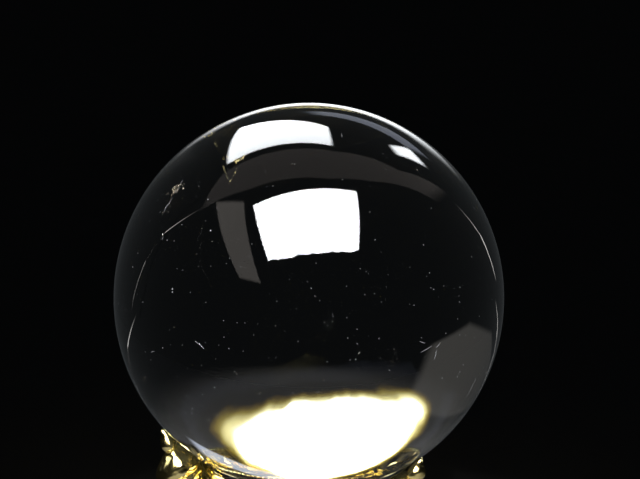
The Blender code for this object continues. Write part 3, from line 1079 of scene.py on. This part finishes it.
def make_gilt_light():
    """A broad lamp up and left of the camera, for the rounded gilt of talons, ring and finial."""
    lamp = bpy.data.lights.new("gilt_light", "AREA")
    lamp.shape = "RECTANGLE"
    lamp.size = 0.46
    lamp.size_y = 0.30
    lamp.energy = 5.2
    lamp.color = (1.0, 0.98, 0.94)
    light = bpy.data.objects.new("gilt_light", lamp)
    bpy.context.scene.collection.objects.link(light)
    middle = Vector((0.0, 0.0, 0.04))
    light.location = look_from(2.0, 38.0, 0.42, middle)
    aim(light, middle)
    rounded = ("talon_", "seat_", "ring_", "finial")
    light.light_linking.receiver_collection = group(
        "rounded_gilt", [piece for piece in stand_pieces.objects if piece.name.startswith(rounded)]
    )


def make_world():
    world = bpy.data.worlds.new("dark_room")
    bpy.context.scene.world = world
    world.use_nodes = True
    world.node_tree.nodes["Background"].inputs["Color"].default_value = (0.8, 0.9, 1.0, 1.0)
    world.node_tree.nodes["Background"].inputs["Strength"].default_value = 0.0018


def on_front_window(right, up, back=0.0):
    """A point on the front window's plane, which faces the ball from above the camera."""
    middle = Vector((0.077, -0.265, 0.552))
    away = (middle - ball_centre).normalized()
    across = Vector((0.0, 0.0, 1.0)).cross(away).normalized()
    return middle + across * right + away.cross(across) * up + away * back


daylight = (0.93, 0.97, 1.0)
crystal_names = ("polished_ball", "healed_fracture", "bubbles", "needles")
in_crystal = [bpy.data.objects[name] for name in crystal_names]
crystal_pieces = group("crystal_pieces", in_crystal)
meshes = [piece for piece in bpy.context.scene.objects if piece.type == "MESH"]
stand_pieces = group("stand_pieces", [piece for piece in meshes if piece not in in_crystal])
make_camera()
make_world()
make_floor()
make_floor_light()
make_gilt_light()
make_room()
soft_panel(
    "front_window",
    [on_front_window(-0.24, -0.235), on_front_window(0.283, -0.165)],
    [on_front_window(-0.294, 0.14), on_front_window(0.245, 0.218)],
    30.0, daylight, edge=0.02, ragged=0.20, roughness=5.0, seen_through=False,
)
# The same window as it shines into the crystal, which spreads its lower edge into colours.
# Four clear sheets, one behind the other, carry the light that one sheet would.
for sheet in range(4):
    back = 0.001 * sheet
    soft_panel(
        f"front_window_inside_{sheet + 1}",
        [on_front_window(-0.25, -0.30, back), on_front_window(0.277, -0.245, back)],
        [on_front_window(-0.294, 0.14, back), on_front_window(0.245, 0.218, back)],
        11.0, daylight, edge=0.02, ragged=0.11, roughness=1.8, mirrored=False,
        fringe=(
            (0.0, (0.0, 0.0, 0.0)),
            (0.03, (0.0014, 0.0016, 0.0022)),
            (0.08, (0.0014, 0.0016, 0.0022)),
            (0.105, (0.0, 0.0, 0.0)),
            (0.140, (0.0, 0.0, 0.0)),
            (0.152, (0.026, 0.017, 0.002)),
            (0.163, (0.095, 0.075, 0.014)),
            (0.176, (0.36, 0.33, 0.15)),
            (0.194, (0.96, 0.97, 0.93)),
            (0.36, (0.96, 0.97, 0.93)),
            (0.46, (0.0, 0.0, 0.0)),
        ),
    )
soft_panel(
    "back_window",
    [(-0.38, 0.12, 0.55), (0.04, 0.24, 0.64)],
    [(-0.30, 0.41, 0.37), (-0.04, 0.37, 0.51)],
    13.0, daylight, edge=0.05, seen_through=False,
)
soft_panel(
    "back_lamp",
    [(0.19, 0.35, 0.47), (0.24, 0.43, 0.34)],
    [(0.13, 0.39, 0.45), (0.135, 0.46, 0.35)],
    10.0, daylight, edge=0.25, seen_through=False,
)
soft_panel(
    "side_card",
    [(-0.23, -0.50, 0.30), (-0.115, -0.58, 0.31)],
    [(-0.415, -0.10, 0.53), (-0.26, -0.17, 0.575)],
    0.9, (1.0, 0.93, 0.86), edge=0.06, seen_through=False,
)
soft_panel(
    "ceiling_card",
    [
        (-0.436, -0.091, 0.40), (-0.228, -0.113, 0.564), (0.101, -0.024, 0.616),
        (0.238, 0.078, 0.566), (0.376, 0.30, 0.343),
    ],
    [
        (-0.403, -0.06, 0.442), (-0.344, 0.065, 0.501), (0.047, 0.184, 0.592),
        (0.254, 0.272, 0.481), (0.304, 0.408, 0.284),
    ],
    0.26, (1.0, 0.9, 0.85), edge=0.08, seen_through=False,
)
soft_panel(
    "far_window",
    [(-0.36, 0.46, 0.09), (-0.12, 0.56, 0.09), (0.12, 0.54, 0.09)],
    [(-0.36, 0.46, 0.25), (-0.12, 0.56, 0.25), (0.12, 0.54, 0.25)],
    3.2, daylight, edge=0.4, seen_through=False,
)
soft_panel(
    "left_wall",
    [(-0.266, 0.357, 0.014), (-0.353, 0.27, 0.004), (-0.424, 0.149, 0.064), (-0.41, 0.013, 0.261)],
    [(-0.244, 0.378, 0.096), (-0.30, 0.32, 0.17), (-0.334, 0.27, 0.209), (-0.38, 0.08, 0.27)],
    0.042, (1.0, 0.96, 0.88), edge=0.08, mirrored=False,
)
# Thin lines of light that the crystal draws out into arcs near its edge.
for name, width, strength, line in (
    ("table_edge", 0.003, 0.6, [
        (0.001, 0.134, 0.001), (0.029, 0.147, 0.001), (0.064, 0.18, 0.001), (0.139, 0.269, 0.001),
        (0.256, 0.416, 0.001),
    ]),
    ("table_corner", 0.004, 1.0, [
        (-0.087, 0.079, 0.001), (-0.134, 0.073, 0.001), (-0.212, 0.078, 0.001), (-0.309, 0.086, 0.001)
    ]),
    ("right_gleam", 0.014, 1.2, [
        (0.20, 0.395, 0.0), (0.283, 0.349, 0.098), (0.315, 0.29, 0.20), (0.307, 0.232, 0.309)
    ]),
    ("left_gleam", 0.012, 1.0, [
        (-0.42, 0.134, 0.0), (-0.438, 0.103, 0.058), (-0.44, 0.07, 0.139), (-0.39, 0.062, 0.293)
    ]),
):
    soft_panel(
        name, line, [(x, y - width, z + width) for x, y, z in line], strength, (1.0, 0.96, 0.92),
        edge=0.3, mirrored=False,
    )
soft_panel(
    "back_wall",
    [(-0.13, 0.36, 0.30), (0.04, 0.39, 0.26), (0.14, 0.37, 0.24)],
    [(-0.10, 0.35, 0.35), (0.03, 0.37, 0.34), (0.13, 0.35, 0.31)],
    0.75, (0.75, 0.82, 1.0), edge=0.15,
)
# Softer panels for the gilt, one on each side.
for name, strength, lower, upper in (
    (
        "gilt_front", 5.0,
        [on_front_window(-0.26, -0.23, 0.03), on_front_window(0.29, -0.17, 0.03)],
        [on_front_window(-0.30, 0.15, 0.03), on_front_window(0.26, 0.23, 0.03)],
    ),
    (
        "gilt_back", 5.0,
        [(-0.40, 0.13, 0.58), (0.04, 0.25, 0.67)],
        [(-0.32, 0.43, 0.39), (-0.04, 0.39, 0.54)],
    ),
    (
        "gilt_right", 2.2,
        [(0.50, -0.16, 0.10), (0.44, 0.24, 0.10)],
        [(0.46, -0.16, 0.36), (0.40, 0.24, 0.36)],
    ),
    (
        "gilt_left", 2.2,
        [(-0.48, -0.20, 0.10), (-0.48, 0.16, 0.10)],
        [(-0.44, -0.20, 0.34), (-0.44, 0.16, 0.34)],
    ),
    (
        "gilt_behind", 1.8,
        [(0.12, 0.50, 0.12), (-0.20, 0.48, 0.12)],
        [(0.12, 0.46, 0.34), (-0.20, 0.44, 0.34)],
    ),
):
    soft_panel(name, lower, upper, strength, daylight, edge=0.1, lights=stand_pieces)
bpy.context.scene.view_settings.view_transform = "Standard"
